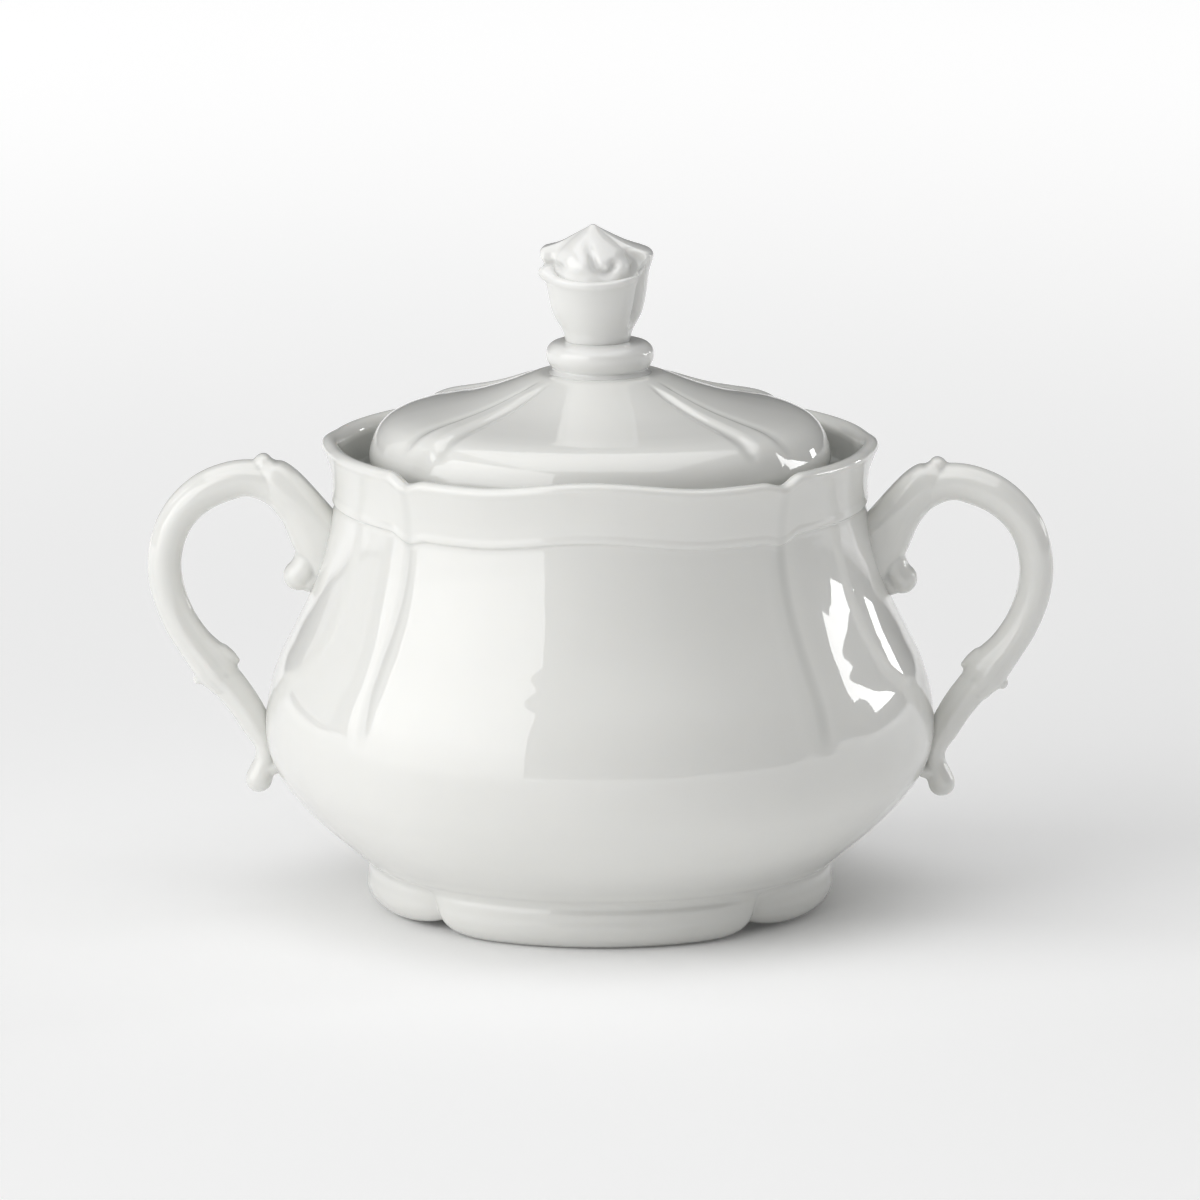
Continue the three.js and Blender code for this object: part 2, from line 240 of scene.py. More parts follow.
def crease_shade(mesh, reach):
    """Paints shade into creases: stores how deep each point lies in a crease, from the bend of the skin
    around it.
    """
    count = len(mesh.vertices)
    co = np.empty(count * 3)
    mesh.vertices.foreach_get("co", co)
    co = co.reshape(-1, 3)
    normals = np.empty(count * 3)
    mesh.vertex_normals.foreach_get("vector", normals)
    normals = normals.reshape(-1, 3)
    edges = np.empty(len(mesh.edges) * 2, int)
    mesh.edges.foreach_get("vertices", edges)
    a, b = edges.reshape(-1, 2).T
    links = np.bincount(a, minlength=count) + np.bincount(b, minlength=count)
    links = np.maximum(links, 1)
    average = co.copy()
    for _ in range(reach):
        total = np.zeros_like(co)
        for axis in range(3):
            total[:, axis] = np.bincount(a, average[b, axis], count) + np.bincount(b, average[a, axis], count)
        average = total / links[:, None]
    depth = ((average - co) * normals).sum(1) / MM
    if "painted_shade" not in mesh.attributes:
        mesh.attributes.new("painted_shade", "FLOAT", "POINT")
    mesh.attributes["painted_shade"].data.foreach_set("value", np.clip(depth * 4, 0, 0.35))


# ---------------------------------------------------------------- relief shared by the pieces


def rim_wave(theta):
    """Rise and fall of the rim and the band's edge: a soft peak at the front, a cusp at each rib."""
    phi = folded(theta)
    side = 0.45
    front = -0.35 + 1.6 * bump(90 - phi, 27)
    level = side + (front - side) * smoothstep(phi, 42, 51) + 0.3 * bump(phi, 13)
    return level - 1.15 * bump(phi - 46.4, 6.5) ** 1.6


def rib_relief(phi):
    """The ribs by each diagonal: a broad bead on the handle's side, a groove and a fine bead."""
    broad = 0.13 * smoothstep(phi, 34.5, 42.2) * (1 - smoothstep(phi, 43.2, 45.8))
    creases = 0.11 * bump(phi - 46.7, 2.3)
    fine = 0.09 * bump(phi - 50.3, 2.8)
    return broad - creases + fine


# ---------------------------------------------------------------- body

OUTER = curve(
    [
        (37.7, JUNCTION),
        (39.4, 8.7),
        (42.3, 11.1),
        (46.7, 14.9),
        (50.9, 19.4),
        (54.0, 23.9),
        (BELLY, 29.0),
        (54.85, 35.0),
        (53.4, 40.4),
        (50.9, 45.6),
        (48.2, 51.0),
        (46.0, 56.6),
        (44.6, 62.0),
        (NECK, BAND - 0.6),
    ],
    7,
)
STEP = curve(
    [
        (NECK, BAND - 0.6),
        (NECK + 0.04, BAND - 0.25),
        (NECK + 0.36, BAND + 0.05),
        (NECK + 0.42, BAND + 0.4),
        (NECK + 0.3, BAND + 1.4),
    ],
    4,
)
LIP = curve(
    [
        (NECK + 0.3, BAND + 1.4),
        (NECK + 0.4, BAND + 3.6),
        (NECK + 0.8, RIM_TOP - 3.8),
        (RIM - 0.3, RIM_TOP - 2.1),
        (RIM, RIM_TOP - 1.1),
        (RIM - 0.3, RIM_TOP - 0.35),
        (RIM - 1.1, RIM_TOP),
        (RIM - 2.0, RIM_TOP - 0.25),
        (RIM - 2.7, RIM_TOP - 1.1),
        (RIM - 2.95, RIM_TOP - 2.4),
    ],
    6,
)
LEDGE_SHAPE = curve(
    [
        (RIM - 3.15, LEDGE + 1.2),
        (RIM - 3.7, LEDGE + 0.2),
        (RIM - 4.9, LEDGE),
        (LEDGE_RADIUS + 0.8, LEDGE),
        (LEDGE_RADIUS, LEDGE - 0.7),
        (LEDGE_RADIUS, LEDGE - 3.0),
        (LEDGE_RADIUS + 1.4, LEDGE - 5.4),
        (NECK - WALL - 0.6, BAND - 7.0),
    ],
    4,
)
INSIDE = curve(
    [
        (41.4, BAND - 11),
        (44.4, 51.5),
        (50.0, 40.0),
        (BELLY - WALL, BELLY_HEIGHT + 1),
        (46.4, 19.0),
        (36.0, FLOOR + 1.4),
        (18.0, FLOOR + 0.2),
        (0.0, FLOOR),
    ],
    6,
)


def body_relief(r, z, theta, weight):
    """Ribs from above the belly to the rim, fainter over the band, and the rim's wave, with painted shade in
    the rib grooves and inside the rim.
    """
    start = smoothstep(z, 32.5, 38.0)
    over_band = 1 - 0.5 * smoothstep(z, BAND - 0.5, BAND + 2)
    ribs = rib_relief(folded(theta)) * start * over_band * weight
    lift = smoothstep(z, BAND - 24, BAND - 0.5) * smoothstep(weight, 0, 0.3)
    corner = 0.55 * bump(folded(theta), 13) * smoothstep(z, RIM_TOP - 5, RIM_TOP - 1) * weight
    # painted shade on the wall inside the rim, where the gap under the lid is dark
    gap_shade = (r < RIM - 2.6) * smoothstep(z, 60, 66) * (1 - smoothstep(z, RIM_TOP - 3.5, RIM_TOP - 1))
    return r + ribs + corner, z + rim_wave(theta) * lift, np.clip(-ribs * 2 + gap_shade, 0, 1)


def build_body():
    outside = np.vstack([OUTER[:-1], STEP[:-1], LIP])
    inside = np.vstack([LEDGE_SHAPE, INSIDE])
    under = [(0, JUNCTION + 0.01), (20, JUNCTION + 0.01), (33, JUNCTION + 0.01)]
    profile = np.vstack([under, outside, inside])
    fade_out = 1 - smoothstep(np.arange(len(LEDGE_SHAPE)), 0, 7)
    over_lip = np.concatenate([np.ones(len(outside)), 0.6 * fade_out, np.zeros(len(INSIDE))])
    weights = np.concatenate([np.zeros(len(under)), over_lip])
    body = revolved("bowl_shell", profile, body_relief, weights)
    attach(body, "bowl")
    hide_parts("bowl_body")
    return body


# ---------------------------------------------------------------- foot


def over_body(z, lift):
    """A point that far outside the body's skin, at a height."""
    return float(np.interp(z, OUTER[:, 1], OUTER[:, 0])) + lift, z


# The foot's last points lie on the body's skin and sink slowly under it, so no seam shows.
ON_BODY = [
    over_body(8.8, 0.12),
    over_body(9.7, 0.04),
    over_body(10.6, 0.0),
    over_body(11.6, -0.06),
    over_body(12.6, -0.25),
    over_body(13.4, -1.2),
    over_body(12.6, -2.6),
]
FOOT_LOBE = curve(
    [
        (FOOT_INNER + 1.0, 2.4),
        (32.7, 0.75),
        (33.6, 0.15),
        (34.4, 0.05),
        (35.4, 0.1),
        (36.8, 0.75),
        (38.0, 2.0),
        (FOOT, 3.5),
        (FOOT - 0.1, 5.0),
        (38.35, 6.2),
        (38.15, 7.0),
        (38.55, 7.9),
        *ON_BODY,
    ],
    5,
)
FOOT_COVE = curve(
    [
        (FOOT_INNER + 1.0, 3.2),
        (32.7, 2.6),
        (33.5, 2.2),
        (34.0, 2.2),
        (34.5, 2.25),
        (35.1, 2.5),
        (35.7, 3.0),
        (36.15, 3.8),
        (36.5, 4.8),
        (36.9, 5.8),
        (37.4, 6.8),
        (38.3, 7.8),
        *ON_BODY,
    ],
    5,
)


def notch_depth(phi):
    """1 at a diagonal's notch. It falls off slowly to the handle and quickly to the front."""
    away = phi - 44.6
    fall = np.where(away < 0, np.exp(away / 9.0), np.exp(-away / 4.5))
    return np.clip((fall - 0.02) / 0.98, 0, 1)


def build_foot():
    notch = notch_depth(folded(ANGLES))[None, :, None]
    bands = FOOT_LOBE[:, None, :] * (1 - notch) + FOOT_COVE[:, None, :] * notch
    inner = np.array([[FOOT_INNER, JUNCTION], [FOOT_INNER + 0.4, 4.8]])
    rings = np.concatenate([np.repeat(inner[:, None, :], len(ANGLES), axis=1), bands])
    r, z = rings[..., 0], np.maximum(rings[..., 1], 0)
    verts = np.stack([r * np.cos(ANGLES), r * np.sin(ANGLES), z], axis=-1).reshape(-1, 3)
    foot = make_object("foot", verts, grid_faces(len(rings), len(ANGLES), close_rows=True))
    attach(foot, "bowl")
    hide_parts("foot_ring")
    return foot


# ---------------------------------------------------------------- handles

SIDES = 40


def rod(stations, steps, section, cap_steps=5):
    """A closed rod along stations of (x, z, thickness, breadth), with round ends.

    section(angle, along) scales the oval's radius. Angle 0 is the outer side of the bend, and
    along runs from 0 to 1 over the rod.
    """
    path = curve(stations, steps)
    tangent = np.gradient(path[:, :2], axis=0)
    tangent /= np.linalg.norm(tangent, axis=1)[:, None]
    along = np.linspace(0, 1, len(path))
    rings = []

    def ring(centre, direction, half_thick, half_broad, at):
        angle = np.arange(SIDES) * 2 * math.pi / SIDES
        scale = section(np.degrees((angle + math.pi) % (2 * math.pi) - math.pi), at)
        across = half_thick * np.cos(angle) * scale
        side = np.array([-direction[1], direction[0]])
        x = centre[0] + side[0] * across
        z = centre[1] + side[1] * across
        rings.append(np.stack([x, half_broad * np.sin(angle) * scale, z], axis=-1))

    def cap(i, sign):
        """Rings that close an end as a half ellipsoid."""
        turns = np.linspace(0, math.pi / 2, cap_steps + 1)[1:-1]
        for turn in turns if sign > 0 else turns[::-1]:
            out = min(path[i, 2], path[i, 3]) / 2 * math.sin(turn) * sign
            shrink = math.cos(turn)
            centre = path[i, :2] + tangent[i] * out
            ring(centre, tangent[i], path[i, 2] / 2 * shrink, path[i, 3] / 2 * shrink, along[i])

    cap(0, -1)
    for i in range(len(path)):
        ring(path[i, :2], tangent[i], path[i, 2] / 2, path[i, 3] / 2, along[i])
    cap(len(path) - 1, 1)
    verts = np.vstack(rings)
    count = len(rings)
    faces = grid_faces(count, SIDES)
    first, last = len(verts), len(verts) + 1
    verts = np.vstack([verts, rings[0].mean(0), rings[-1].mean(0)])
    for j in range(SIDES):
        k = (j + 1) % SIDES
        faces.append((k, j, first))
        faces.append(((count - 1) * SIDES + j, (count - 1) * SIDES + k, last))
    return verts, faces


def plain(angle, along):
    """A plain oval."""
    return 1 + 0 * angle


def arch_section(angle, along):
    """A bead along the outer edge with a groove on each side, and a ridge on the leaf's flanks."""
    away = np.abs(angle)
    start = smoothstep(along, 0.08, 0.16)
    bead = start * (1 - smoothstep(along, 0.78, 0.9))
    leaf = smoothstep(along, 0.62, 0.85)
    edge = 0.02 * bump(away, 30) - 0.055 * bump(away - 44, 15)
    ridge = 0.09 * bump(away - 88, 16) - 0.05 * bump(away - 62, 16) - 0.05 * bump(away - 114, 16)
    return 1 + bead * edge + leaf * ridge


def root_section(angle, along):
    """A flat upper face with crisp edges."""
    away = np.radians(angle)
    square = 1 / (np.abs(np.cos(away)) ** 3.2 + np.abs(np.sin(away)) ** 3.2) ** (1 / 3.2)
    upper = smoothstep(np.cos(away), -0.2, 0.5)
    return 1 + (square - 1) * 0.85 * upper


def lower_section(angle, along):
    """The leaf's middle rib runs on down the flank of the lower rod and dies away."""
    away = np.abs(angle)
    rib = 1 - smoothstep(along, 0.35, 0.6)
    return 1 + rib * (0.11 * bump(away - 90, 20) - 0.04 * bump(away - 55, 20))


ROOT = [
    (44.0, 57.0, 9.0, 7.6),
    (46.5, 61.3, 9.2, 8.8),
    (49.5, 66.1, 7.6, 8.8),
    (53.0, 70.1, 7.0, 8.0),
    (55.0, 72.3, 5.2, 6.4),
    (55.6, 73.6, 3.0, 4.4),
]
ARCH = [
    (50.3, 66.3, 6.0, 7.0),
    (52.7, 69.0, 6.5, 7.2),
    (55.6, 70.5, 6.4, 7.2),
    (58.7, 70.9, 6.1, 7.0),
    (61.8, 70.2, 6.3, 6.9),
    (65.2, 68.7, 6.2, 6.8),
    (68.6, 65.8, 5.9, 6.6),
    (70.9, 62.0, 5.7, 6.4),
    (71.95, 56.8, 5.6, 6.4),
    (71.4, 52.0, 5.6, 6.4),
    (69.5, 47.0, 5.6, 6.5),
    (67.0, 43.1, 5.9, 6.8),
    (64.8, 40.4, 6.8, 7.2),
    (63.5, 38.7, 7.2, 7.2),
    (62.3, 37.0, 6.0, 6.6),
]
LOWER = [
    (64.4, 40.2, 5.0, 6.2),
    (61.7, 36.6, 5.5, 6.4),
    (59.0, 33.0, 5.3, 6.0),
    (57.0, 29.5, 4.9, 5.4),
    (55.6, 26.2, 3.6, 4.8),
    (55.5, 24.0, 3.4, 4.6),
    (56.2, 21.4, 4.2, 4.9),
    (56.6, 20.2, 4.5, 5.0),
]
CURL = [
    (46.4, 63.6, 6.0, 6.4),
    (47.5, 60.0, 5.4, 6.0),
    (48.1, 57.4, 5.0, 5.8),
    (49.2, 55.4, 4.8, 5.6),
    (49.9, 54.6, 5.0, 5.6),
]
WEBS = [
    [(44.6, 60.0, 5.0, 5.2), (45.9, 56.0, 5.4, 4.8), (47.9, 53.8, 4.0, 4.4)],
    [(56.0, 22.0, 3.4, 4.4), (53.6, 22.5, 2.8, 4.2), (51.6, 23.0, 2.2, 4.0)],
]
SPURS = [
    [(62.6, 41.2, 3.6, 4.6), (61.0, 40.6, 2.2, 3.4), (60.1, 40.2, 1.0, 2.0)],
    [(65.0, 38.8, 5.0, 5.4), (66.0, 37.6, 3.2, 4.0), (66.5, 37.1, 2.0, 2.8)],
]


def build_handles():
    """Two copies of one casting, the second turned half round."""
    parts = [
        rod(ROOT, 6, root_section),
        rod(ARCH, 6, arch_section),
        rod(LOWER, 6, lower_section),
        rod(CURL, 6, plain),
        *(rod(stations, 4, plain) for stations in WEBS + SPURS),
    ]
    casting = remeshed("handle", parts, voxel_mm=0.3, smooth_steps=3)
    # painted shade in the casting's creases
    crease_shade(casting, reach=6)
    for name, turn in (("handle_casting_right", 0), ("handle_casting_left", math.pi)):
        handle = add_object(name, casting.copy())
        handle.data.transform(Matrix.Rotation(turn, 4, "Z"))
        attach(handle, "bowl")
        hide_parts(name.replace("casting_", ""))
        yield handle


# ---------------------------------------------------------------- lid

LID_UNDER = curve(
    [
        (0, LID_TOP - 3.0),
        (12, 84.9),
        (20, 82.4),
        (29.5, 79.4),
        (FLANGE - FLANGE_WALL + 0.2, 77.4),
        (FLANGE - FLANGE_WALL, 75.4),
    ],
    5,
)
LID_SHAPE = curve(
    [
        (FLANGE + 0.3, LID_SEAT),
        (LID - 1.5, LID_SEAT),
        (LID - 0.9, LID_SEAT + 1.2),
        (LID - 0.35, LID_SEAT + 2.9),
        (LID, LID_SEAT + 4.6),
        (LID - 0.1, LID_SEAT + 5.7),
        (LID - 0.5, LID_SEAT + 7.1),
        (LID - 1.1, LID_SEAT + 8.5),
        (LID - 1.95, LID_SEAT + 9.7),
        (34.9, 81.2),
        (33.2, 82.0),
        (31.0, 82.65),
        (27.6, 83.4),
        (22.5, 84.6),
        (18.0, 86.0),
        (14.8, 87.2),
        (12.4, 88.2),
        (10.4, LID_TOP - 0.1),
        (8.5, LID_TOP),
    ],
    6,
)


def lid_relief(r, z, theta, weight):
    """Four raised ribs with a groove on each side, widening from the collar to the edge."""
    phi = folded(theta)
    reach = smoothstep(r, 11.0, 17) * (1 - smoothstep(r, 36.6, 37.9)) * weight
    raised = 0.42 * smoothstep(phi, 33.0, 37.5) * (1 - smoothstep(phi, 41.5, 46.0))
    grooves = 0.24 * bump(phi - 46.6, 3.4) + 0.2 * bump(phi - 32.4, 3.2)
    relief = reach * (raised - grooves)
    # the grooves get painted shade
    return r, z + relief, np.clip(-relief, 0, 0.3)


def build_lid():
    profile = np.vstack([LID_UNDER, LID_SHAPE, [(0, LID_TOP)]])
    on_top = smoothstep(LID_SHAPE[:, 1], LID_SEAT + 7, LID_SEAT + 9.5)
    weights = np.concatenate([np.zeros(len(LID_UNDER)), on_top, [0]])
    dome = revolved("lid_shell", profile, lid_relief, weights)
    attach(dome, "lid")
    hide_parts("lid_dome")
    return dome


def build_flange():
    bottom, top = FLANGE_LOW[2], FLANGE_HIGH[2] + 0.25
    inner = FLANGE - FLANGE_WALL
    corner = 1.1
    profile = curve(
        [
            (inner, top),
            (inner, (top + bottom) / 2),
            (inner, bottom + corner),
            (inner + 0.35, bottom + 0.3),
            (inner + corner, bottom),
            (FLANGE - corner, bottom),
            (FLANGE - 0.35, bottom + 0.3),
            (FLANGE, bottom + corner),
            (FLANGE, (top + bottom) / 2),
            (FLANGE, top),
        ],
        3,
    )
    ring = revolved("locating_ring", profile, angles=np.radians(np.arange(0, 360, 2.5)))
    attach(ring, "lid")
    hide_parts("lid_flange")
    return ring


# ---------------------------------------------------------------- knob


def build_collar():
    low, high = COLLAR_LOW[2] - 0.3, COLLAR_HIGH[2] + 0.3
    middle = (low + high) / 2
    profile = curve(
        [
            (0, low),
            (COLLAR - 0.45, low),
            (COLLAR - 0.9, low + 0.3),
            (COLLAR - 1.15, low + 0.7),
            (COLLAR - 0.75, low + 1.1),
            (COLLAR - 0.15, middle - 0.5),
            (COLLAR, middle + 0.5),
            (COLLAR - 0.2, middle + 1.4),
            (COLLAR - 1.0, high - 0.35),
            (COLLAR - 2.3, high),
            (0, high),
        ],
        5,
    )
    collar = revolved("knob_ring", profile, angles=np.radians(np.arange(0, 360, 2.5)))
    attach(collar, "lid")
    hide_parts("knob_collar")
    return collar


# The rosebud from its base to its tip, as radius and height. The front petal ends in a lip below
# the heart. The petals at the sides and the back reach up to the heart's eaves.
BUD_STEPS = 8
BUD_FRONT = curve(
    [
        (5.3, BUD_BASE),
        (5.75, 95.8),
        (6.7, 97.6),
        (7.6, 99.7),
        (8.2, 102.0),
        (8.6, 103.4),
        (9.0, 104.15),
        (8.95, 104.85),
        (8.4, 105.15),
        (7.6, 104.95),
        (7.35, 105.7),
        (7.2, 107.4),
        (6.2, 109.3),
        (4.5, 110.8),
        (2.7, 112.0),
        (1.2, 112.9),
        (0.35, KNOB_TOP - 0.08),
    ],
    BUD_STEPS,
)
BUD_SIDE = curve(
    [
        (5.3, BUD_BASE),
        (5.7, 95.8),
        (6.5, 97.6),
        (7.3, 99.8),
        (7.8, 102.2),
        (8.05, 104.2),
        (8.35, 106.2),
        (8.85, 107.8),
        (9.1, 108.7),
        (8.8, 109.35),
        (7.9, 109.8),
        (6.8, 110.2),
        (5.4, 110.75),
        (3.9, 111.5),
        (2.4, 112.3),
        (1.1, 113.0),
        (0.35, KNOB_TOP - 0.08),
    ],
    BUD_STEPS,
)
LIP_ROW = 7 * BUD_STEPS  # the ring in the front petal's lip
HEART_ROW = 70  # the ring inside that lip, from which the heart rises
# How far a petal stands out along its width, by azimuth: out at one edge, tucked in at the other.
PETAL_AZIMUTH = [-170, -150, -121, -116, -109, -100, -60, 30, 54, 59, 68, 76, 116, 148, 155, 164, 172]
PETAL_LEAN = [0.45, 0.2, -0.3, -0.75, 0.5, 0.4, 0.1, 0.0, -0.5, -1.15, 0.25, 0.3, 0, -0.25, -0.8, 0.45, 0.5]
# The crease where the heart's two inner petals wrap round each other: azimuth and height.
HEART_CREASE = curve(
    [
        (-20, 112.0),
        (-12, 110.7),
        (-6, 109.2),
        (-2, 107.9),
        (6, 106.9),
        (18, 106.7),
        (25, 107.7),
    ],
    16,
)


def round_bud(azimuth, r, z):
    """Points at an azimuth, radius and height round the bud's axis, which leans a little to the left."""
    angle = np.radians(azimuth)
    lean = 0.4 + 0.75 * smoothstep(z, 107.5, 113)
    return np.stack([r * np.sin(angle) - lean, -r * np.cos(angle), z + 0 * angle], axis=-1)


def bud_profile(azimuth):
    """Radius and height from the base to the tip at each azimuth."""
    signed = (azimuth + 180) % 360 - 180
    front = (smoothstep(signed, -88, -70) * (1 - smoothstep(signed, 53, 66)))[None, :, None]
    shape = BUD_FRONT[:, None] * front + BUD_SIDE[:, None] * (1 - front)
    r, z = shape[..., 0], shape[..., 1]
    near_lip = bump(np.arange(len(shape)) - LIP_ROW, 5 * BUD_STEPS)[:, None] * front[..., 0]
    return r, z + 1.25 * near_lip * np.clip(np.abs(signed + 8) / 60, 0, 1) ** 2


def spot(azimuth, z, centre, half_degrees, height, half_height):
    """A smooth patch, 1 at its centre, on the side of the bud."""
    signed = (azimuth - centre + 180) % 360 - 180
    return bump(signed, half_degrees) * bump(z - height, half_height)


def build_rosebud():
    """Three petals lapped round a closed heart, under one glaze."""
    azimuth = np.arange(0, 360, 0.8)
    r, z = bud_profile(azimuth)
    skin = round_bud(azimuth, r, z)
    lean = np.interp(azimuth, PETAL_AZIMUTH, PETAL_LEAN, period=360)
    spread = np.array([1, 3, 5, 6, 5, 3, 1]) / 24
    lean = np.convolve(np.pad(lean, 3, mode="wrap"), spread, mode="valid")
    out = lean * smoothstep(z, 96.4, 99.5) * (1 - smoothstep(z, 108.6, 110.4))
    out += 0.85 * spot(azimuth, z, -74, 24, 105.9, 1.8)
    out -= 0.9 * spot(azimuth, z, -66, 30, 107.2, 0.9)
    out += 0.35 * spot(azimuth, z, -20, 20, 107.6, 2.2)
    out += 0.45 * spot(azimuth, z, 38, 18, 107.3, 2.0)
    crease_r, crease_z = [], []
    for at, height in HEART_CREASE:
        ring_r, ring_z = bud_profile(np.array([at]))
        crease_r.append(np.interp(height, ring_z[HEART_ROW:, 0], ring_r[HEART_ROW:, 0]))
        crease_z.append(height)
    crease = round_bud(HEART_CREASE[:, 0], np.array(crease_r), np.array(crease_z))
    depth = np.zeros_like(z)
    for point, fade in zip(crease, smoothstep(np.linspace(0, 1, len(crease)), 0, 0.45)):
        gap = np.linalg.norm(skin - point, axis=-1)
        depth = np.maximum(depth, 0.95 * fade * np.exp(-((gap / 0.75) ** 2)))
    out -= depth
    along = np.gradient(skin, axis=0)
    around = np.roll(skin, -1, axis=1) - np.roll(skin, 1, axis=1)
    normal = np.cross(around, along)
    normal /= np.linalg.norm(normal, axis=-1, keepdims=True)
    skin = skin + normal * out[..., None]
    rows, columns = z.shape
    faces = grid_faces(rows, columns)
    faces.append(tuple(range(columns))[::-1])
    faces.append(tuple(range((rows - 1) * columns, rows * columns)))
    # recessed places on the bud get painted shade
    bud = make_object("rosebud", skin.reshape(-1, 3), faces, np.clip(-out * 0.25, 0, 0.3))
    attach(bud, "lid")
    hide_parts("knob_rosebud")
    return bud


# ---------------------------------------------------------------- materials


UNDER_COAT = 0.95  # the white below the coat, as a share of the record's colour


def glaze_material(name, tint):
    """Clear glaze over white clay: faint clouds, painted shade in the creases and recesses, and soft waves.
    """
    material = bpy.data.materials.new(name)
    material.use_nodes = True
    nodes, links = material.node_tree.nodes, material.node_tree.links
    shader = nodes["Principled BSDF"]
    tint = [c * UNDER_COAT for c in tint]
    place = nodes.new("ShaderNodeTexCoord")

    cloud = nodes.new("ShaderNodeTexNoise")
    cloud.inputs["Scale"].default_value = 38
    cloud.inputs["Detail"].default_value = 3
    links.new(place.outputs["Object"], cloud.inputs["Vector"])
    colour = nodes.new("ShaderNodeValToRGB")
    colour.color_ramp.elements[0].position = 0.3
    colour.color_ramp.elements[1].position = 0.7
    colour.color_ramp.elements[0].color = (*(c * 0.965 for c in tint), 1)
    colour.color_ramp.elements[1].color = (*tint, 1)
    links.new(cloud.outputs["Fac"], colour.inputs["Fac"])

    # Painted shade from a mesh attribute darkens the creases, grooves, recesses and the wall inside the rim.
    painted_shade = nodes.new("ShaderNodeAttribute")
    painted_shade.attribute_name = "painted_shade"
    painted_shade_mix = nodes.new("ShaderNodeMix")
    painted_shade_mix.data_type = "RGBA"
    # the dark colour of the painted shade
    painted_shade_mix.inputs["B"].default_value = (tint[0] * 0.45, tint[1] * 0.46, tint[2] * 0.45, 1)
    links.new(painted_shade.outputs["Fac"], painted_shade_mix.inputs["Factor"])
    links.new(colour.outputs["Color"], painted_shade_mix.inputs["A"])
    links.new(painted_shade_mix.outputs["Result"], shader.inputs["Base Color"])

    waves = nodes.new("ShaderNodeTexNoise")
    waves.inputs["Scale"].default_value = 95
    waves.inputs["Detail"].default_value = 1.5
    links.new(place.outputs["Object"], waves.inputs["Vector"])
    ripple = nodes.new("ShaderNodeBump")
    ripple.inputs["Strength"].default_value = 0.25
    ripple.inputs["Distance"].default_value = 0.0002
    links.new(waves.outputs["Fac"], ripple.inputs["Height"])
    links.new(ripple.outputs["Normal"], shader.inputs["Coat Normal"])

    shader.inputs["Roughness"].default_value = 0.4
    shader.inputs["Specular IOR Level"].default_value = 0.25
    shader.inputs["Coat Weight"].default_value = 1.0
    shader.inputs["Coat Roughness"].default_value = 0.025
    shader.inputs["Coat IOR"].default_value = 1.58
    shader.inputs["Subsurface Weight"].default_value = 0.12
    shader.inputs["Subsurface Radius"].default_value = (1.0, 0.9, 0.75)
    shader.inputs["Subsurface Scale"].default_value = 0.002
    return material


def slot_colour(slot):
    """The record's base colour of a material slot."""
    for entry in frame["record"]["materials"]:
        if entry["slot"] == slot:
            return entry["base_color"]
    raise ValueError(slot)


# ---------------------------------------------------------------- camera and light

VIEW_AZIMUTH, VIEW_ELEVATION = 1.55, 11.3
VIEW_DISTANCE = 1.6
VIEW_WIDTH = 0.1982
AIM = Vector((0, 0, 0.0507))


def direction(azimuth, elevation):
    """Unit vector towards a place round the object: azimuth 0 is the front, and +90 is at +X."""
    a, e = math.radians(azimuth), math.radians(elevation)
    return Vector((math.sin(a) * math.cos(e), -math.cos(a) * math.cos(e), math.sin(e)))


def build_camera():
    data = bpy.data.cameras.new("camera")
    camera = bpy.data.objects.new("camera", data)
    bpy.context.scene.collection.objects.link(camera)
    away = direction(VIEW_AZIMUTH, VIEW_ELEVATION)
    camera.location = AIM + away * VIEW_DISTANCE
    camera.rotation_euler = (-away).to_track_quat("-Z", "Y").to_euler()
    data.sensor_width = 36
    data.lens = data.sensor_width * VIEW_DISTANCE / VIEW_WIDTH
    data.clip_start = 0.01
    bpy.context.scene.camera = camera


def build_floor():
    """A plain pale floor, a little brighter away from the object: painted light from a glow in the floor
    itself.
    """
    half = 6.0 / MM
    corners = [(-half, -half, 0), (half, -half, 0), (half, half, 0), (-half, half, 0)]
    floor = make_object("floor", corners, [(0, 1, 2, 3)])
    material = bpy.data.materials.new("floor_white")
    material.use_nodes = True
    nodes, links = material.node_tree.nodes, material.node_tree.links
    shader = nodes["Principled BSDF"]
    shader.inputs["Base Color"].default_value = (0.97, 0.97, 0.97, 1)
    shader.inputs["Roughness"].default_value = 0.9
    shader.inputs["Specular IOR Level"].default_value = 0.1
    shader.inputs["Emission Color"].default_value = (1, 1, 1, 1)
    place = nodes.new("ShaderNodeTexCoord")
    distance = nodes.new("ShaderNodeVectorMath")
    distance.operation = "LENGTH"
    links.new(place.outputs["Object"], distance.inputs[0])
    # painted light: the floor's glow, weak near the object and stronger further off
    glow = nodes.new("ShaderNodeMapRange")
    glow.interpolation_type = "SMOOTHSTEP"
    glow.inputs["From Min"].default_value = 0.1
    glow.inputs["From Max"].default_value = 1.2
    glow.inputs["To Min"].default_value = 0.03
    glow.inputs["To Max"].default_value = 0.45
    links.new(distance.outputs["Value"], glow.inputs["Value"])
    links.new(glow.outputs["Result"], shader.inputs["Emission Strength"])
    floor.data.materials.append(material)


def lamp(name, width, height, radiance, place, facing):
    """A flat rectangular lamp of even brightness at a place, facing a direction."""
    data = bpy.data.lights.new(name, "AREA")
    data.shape = "RECTANGLE"
    data.size = width
    data.size_y = height
    data.energy = math.pi * radiance * width * height
    light = bpy.data.objects.new(name, data)
    bpy.context.scene.collection.objects.link(light)
    light.location = place
    light.rotation_euler = Vector(facing).to_track_quat("-Z", "Y").to_euler()
    return light


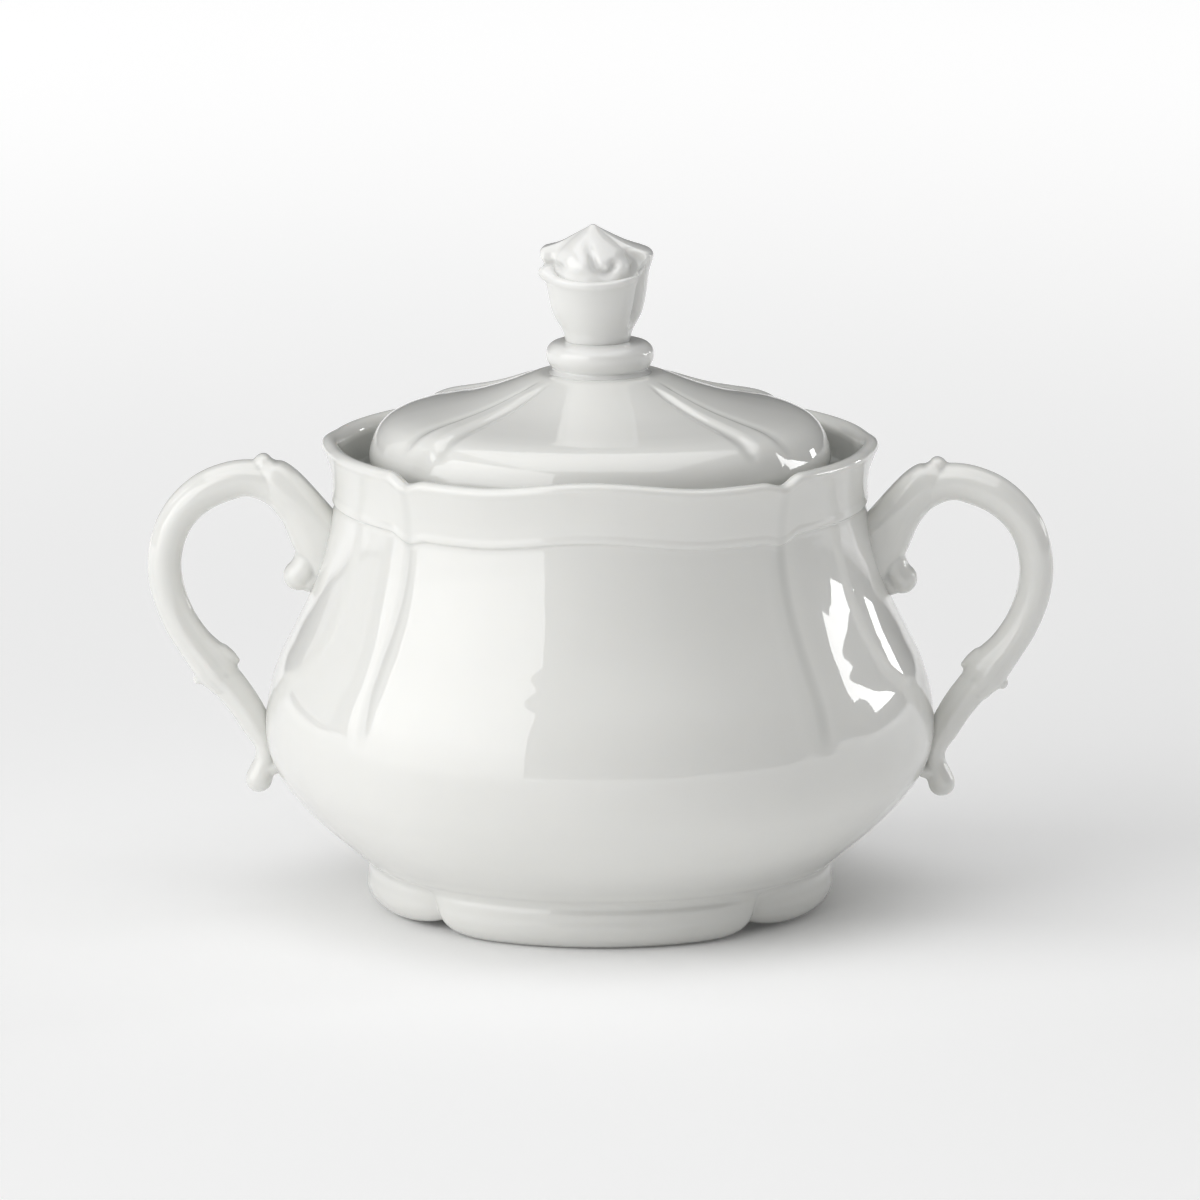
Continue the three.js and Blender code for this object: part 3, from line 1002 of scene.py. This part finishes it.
# The key lamp in three steps, dimmer towards the floor: lowest and highest height, radiance.
KEY_STEPS = [(0.0, 0.16, 1.45), (0.16, 0.42, 1.85), (0.42, 2.15, 2.2)]


def upright(name, azimuth, distance, width, low, high, radiance):
    """An upright lamp that faces the object's axis, between two heights."""
    away = direction(azimuth, 0)
    place = away * distance + Vector((0, 0, (low + high) / 2))
    return lamp(name, width, high - low, radiance, place, -away)


# Two bright windows on the far right, as azimuths and elevations of their corners, seen from a
# point on the object's axis.
WINDOW_DISTANCE = 1.6
SEEN_FROM = 50.0  # mm above the floor
WINDOW_NEAR = [
    (106, 13),
    (109, 13.5),
    (111.3, 5),
    (127.5, 5),
    (122, 9),
    (117, 12.5),
    (113.5, 16.5),
    (111, 20),
    (108, 23),
    (106.8, 19),
]
WINDOW_FAR = [(134, 4.5), (139.5, 3.8), (139.5, 8.5), (134, 9.8)]


def window(name, corners, radiance):
    """A bright card, seen only in the glaze, with its corners at azimuths and elevations."""
    verts = []
    for azimuth, elevation in corners:
        flat = direction(azimuth, 0) * WINDOW_DISTANCE
        rise = WINDOW_DISTANCE * math.tan(math.radians(elevation))
        verts.append((flat.x / MM, flat.y / MM, SEEN_FROM + rise / MM))
    card = make_object(name, verts, [tuple(range(len(verts)))])
    material = bpy.data.materials.new(name)
    material.use_nodes = True
    nodes, links = material.node_tree.nodes, material.node_tree.links
    glow = nodes.new("ShaderNodeEmission")
    glow.inputs["Strength"].default_value = radiance
    links.new(glow.outputs["Emission"], nodes["Material Output"].inputs["Surface"])
    card.data.materials.append(material)
    card.visible_camera = False


def build_light():
    world = bpy.data.worlds.new("studio")
    bpy.context.scene.world = world
    world.use_nodes = True
    background = world.node_tree.nodes["Background"]
    background.inputs["Color"].default_value = (1, 1, 1, 1)
    background.inputs["Strength"].default_value = 0.1
    for step, (low, high, radiance) in enumerate(KEY_STEPS):
        name = f"key_left_{step}"
        upright(name, azimuth=-58, distance=2.2, width=3.0, low=low, high=high, radiance=radiance)
    upright("fill_left", azimuth=-122, distance=2.2, width=1.2, low=0.1, high=1.5, radiance=0.5)
    lamp("overhead", width=2.8, height=2.6, radiance=1.4, place=(0, -0.35, 1.95), facing=(0, 0, -1))
    window("window_near", WINDOW_NEAR, radiance=6.5)
    window("window_far", WINDOW_FAR, radiance=6.5)
    bpy.context.scene.view_settings.view_transform = "Standard"


body = build_body()
foot = build_foot()
handles = list(build_handles())
dome = build_lid()
ring = build_flange()
collar = build_collar()
bud = build_rosebud()
for slot, pieces in {
    "body_glaze": [body],
    "foot_glaze": [foot],
    "handle_glaze": handles,
    "lid_glaze": [dome],
    "flange_glaze": [ring],
    "knob_glaze": [collar, bud],
}.items():
    material = glaze_material(slot, slot_colour(slot))
    for piece in pieces:
        piece.data.materials.clear()
        piece.data.materials.append(material)
build_floor()
build_light()
build_camera()
